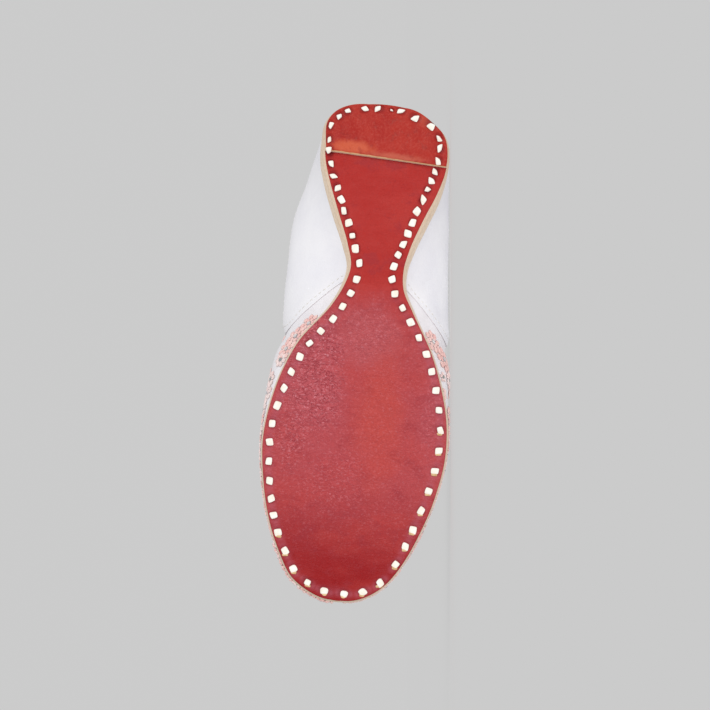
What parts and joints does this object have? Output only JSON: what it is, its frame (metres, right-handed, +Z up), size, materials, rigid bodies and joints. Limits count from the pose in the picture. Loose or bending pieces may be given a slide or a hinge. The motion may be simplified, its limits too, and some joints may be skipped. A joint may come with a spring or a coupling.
{
  "type": "mojari shoe",
  "caption": "Flat slip-on mojari shoe for the left foot: hourglass leather sole with laced edge, low hollow upper, embroidered vamp and plain quarter; lies on its inner side.",
  "frame": {"origin": "centre of the bounding box at the floor that the shoe lies on", "axes": "+X towards the heel, +Y towards the opening, +Z up from the floor; the sole faces -Y and the outer side is up"},
  "size_m": [0.2482, 0.053, 0.0944],
  "materials": {
    "outsole": "red-dyed sole leather, satin, creased",
    "heel_lift": "darker orange-red sole leather, satin, scuffed",
    "midsole": "natural tan leather, cut edge",
    "insole": "smooth cream lining leather",
    "vamp": "off-white cloth-covered leather",
    "quarter": "white matt leather",
    "thong": "cream rawhide lacing",
    "floss": "pink embroidery floss",
    "thread": "white sewing thread",
    "bead": "small grey and green glass-like beads",
    "sequin": "pale lilac pearly sequins"
  },
  "bodies": {
    "root": {"outsole": "outsole", "heel_lift": "heel_lift", "midsole": "midsole", "insole": "insole", "upper": "vamp", "quarter": "quarter"}
  },
  "joints": []
}
